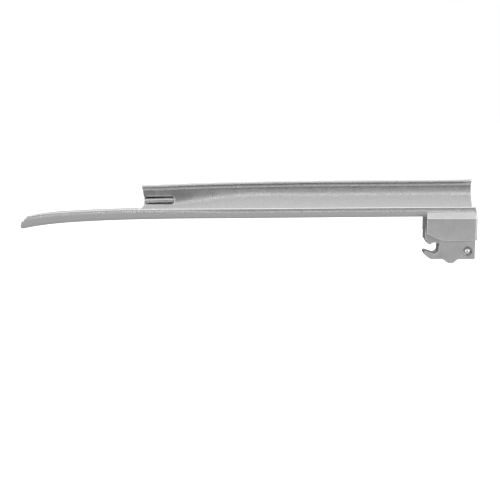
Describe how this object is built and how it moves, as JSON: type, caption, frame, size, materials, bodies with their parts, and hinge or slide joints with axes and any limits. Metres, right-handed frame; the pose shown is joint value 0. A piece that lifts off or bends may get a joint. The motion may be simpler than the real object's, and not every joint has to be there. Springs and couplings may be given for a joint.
{
  "type": "laryngoscope blade",
  "caption": "Straight laryngoscope blade with a trough-shaped tongue spatula, upright web, fibre light guide and hook-on heel with spring ball detents.",
  "frame": {"origin": "on the handle's hinge pin axis, at the centre of the hook, half way through the hook plate's thickness", "axes": "+X towards the heel's rear and -X towards the tip; +Y towards the blade's left side, where the web stands; +Z away from the handle, towards the open channel"},
  "size_m": [0.2025, 0.0178, 0.0371],
  "materials": {
    "blade_steel": "satin bead-blasted",
    "heel_steel": "satin bead-blasted",
    "hook_steel": "satin bead-blasted",
    "bush_steel": "turned",
    "ball_chrome": "polished",
    "spring_steel": "drawn wire",
    "tube_steel": "polished",
    "saddle_steel": "satin bead-blasted",
    "fibre_glass": "fibre bundle",
    "window_glass": "polished",
    "ferrule_steel": "turned",
    "seal_rubber": "matt"
  },
  "bodies": {
    "blade_body": {"blade": "blade_steel", "heel_block": "heel_steel", "hook_lug": "hook_steel", "detent_bush_right": "bush_steel", "detent_bush_left": "bush_steel", "detent_spring": "spring_steel", "light_guide_tube": "tube_steel", "fibre_bundle": "fibre_glass", "outlet_window": "window_glass", "inlet_ferrule": "ferrule_steel", "inlet_window": "window_glass", "inlet_seal": "seal_rubber", "guide_saddle": "saddle_steel"},
    "ball_right": {"detent_ball_right": "ball_chrome"},
    "ball_left": {"detent_ball_left": "ball_chrome"}
  },
  "joints": [
    {"name": "ball_right_press", "type": "slide", "parent": "blade_body", "child": "ball_right", "axis": [0, 1, 0], "range_m": [0, 0.0005], "stiffness_N_per_m": 4000, "springref_m": -0.0005, "deforming": ["detent_spring"]},
    {"name": "ball_left_press", "type": "slide", "parent": "blade_body", "child": "ball_left", "axis": [0, -1, 0], "range_m": [0, 0.0005], "stiffness_N_per_m": 4000, "springref_m": -0.0005, "deforming": ["detent_spring"]}
  ]
}
